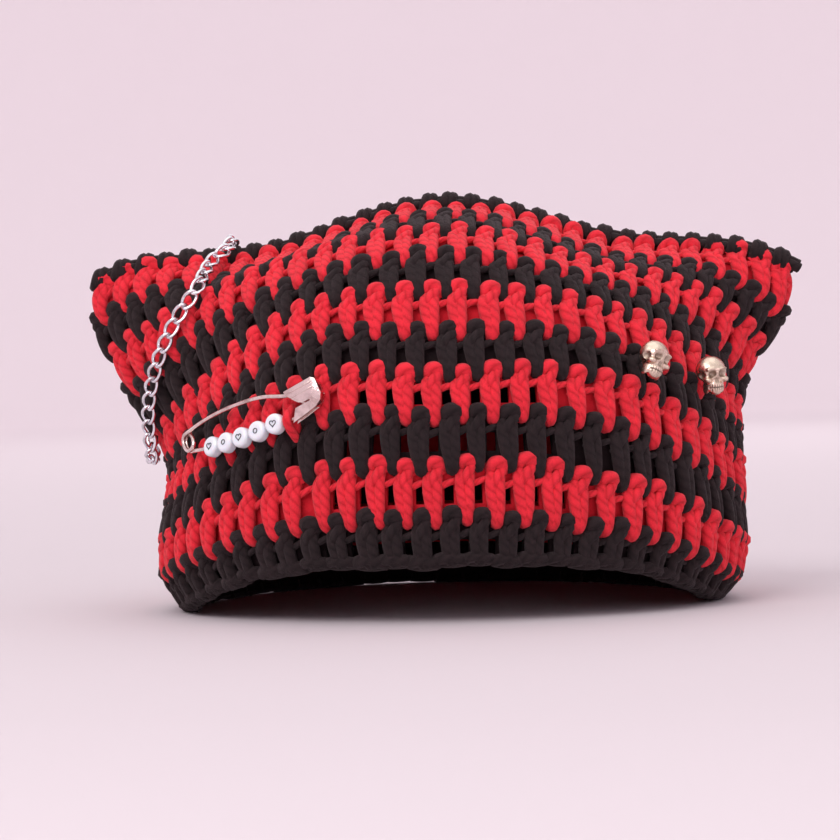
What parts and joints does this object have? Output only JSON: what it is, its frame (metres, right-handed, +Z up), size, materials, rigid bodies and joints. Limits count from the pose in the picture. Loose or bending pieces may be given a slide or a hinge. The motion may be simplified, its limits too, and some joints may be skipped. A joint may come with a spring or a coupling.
{
  "type": "cat ear beanie",
  "caption": "Striped crochet beanie with two cat ear corners, a chain looped round one ear, a beaded safety pin and cast skull trims.",
  "frame": {"origin": "middle of the overall box at the level of the rim", "axes": "+Z up, the front with the pin and the skulls faces -Y, the ears point to -X and +X"},
  "size_m": [0.2279, 0.1731, 0.1304],
  "materials": {
    "black_yarn": "matt plied acrylic yarn",
    "red_yarn": "matt plied acrylic yarn",
    "pin_steel": "bright plated steel, rose tint",
    "chain_steel": "bright polished steel",
    "white_bead": "glossy",
    "cast_metal": "antiqued casting, darkened in its hollows"
  },
  "bodies": {
    "root": {"row_01_black": "black_yarn", "row_02_red": "red_yarn", "row_03_black": "black_yarn", "row_04_red": "red_yarn", "row_05_black": "black_yarn", "row_06_red": "red_yarn", "row_07_black": "black_yarn", "row_08_red": "red_yarn", "row_09_black": "black_yarn", "row_10_red": "red_yarn", "top_seam": "black_yarn", "safety_pin_wire": "pin_steel", "safety_pin_cap": "pin_steel", "bead_1": "white_bead", "bead_2": "white_bead", "bead_3": "white_bead", "bead_4": "white_bead", "bead_5": "white_bead", "skull_left": "cast_metal", "skull_right": "cast_metal", "chain": "chain_steel"}
  },
  "joints": []
}
